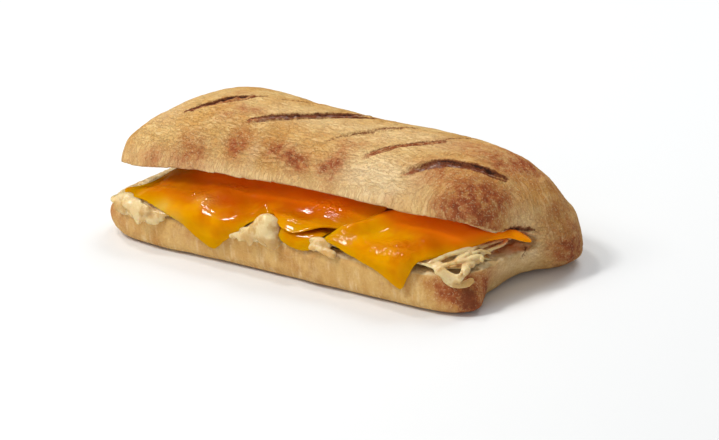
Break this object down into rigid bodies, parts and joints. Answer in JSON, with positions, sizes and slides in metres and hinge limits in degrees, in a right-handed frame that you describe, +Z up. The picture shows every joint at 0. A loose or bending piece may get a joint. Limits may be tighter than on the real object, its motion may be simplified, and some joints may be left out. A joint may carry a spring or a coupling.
{
  "type": "grilled cheese ciabatta sandwich",
  "caption": "Small ciabatta roll sliced open along its front, with melted cheddar slices draped over the lower lip on a layer of melted shredded cheese",
  "frame": {"origin": "centre of the bounding box in plan, at the height of the flat base the sandwich rests on", "axes": "+X along the roll to its right end, -Y towards the open side, +Z up"},
  "size_m": [0.1686, 0.0794, 0.0467],
  "materials": {
    "crust": "matte baked crust",
    "shredded_cheese": "soft melted cheese",
    "cheddar_left": "glossy melted cheddar",
    "cheddar_middle": "glossy melted cheddar",
    "cheddar_right": "glossy melted cheddar"
  },
  "bodies": {
    "root": {"bread": "crust", "shredded_cheese": "shredded_cheese", "cheddar_slice_left": "cheddar_left", "cheddar_slice_middle": "cheddar_middle", "cheddar_slice_right": "cheddar_right"}
  },
  "joints": []
}
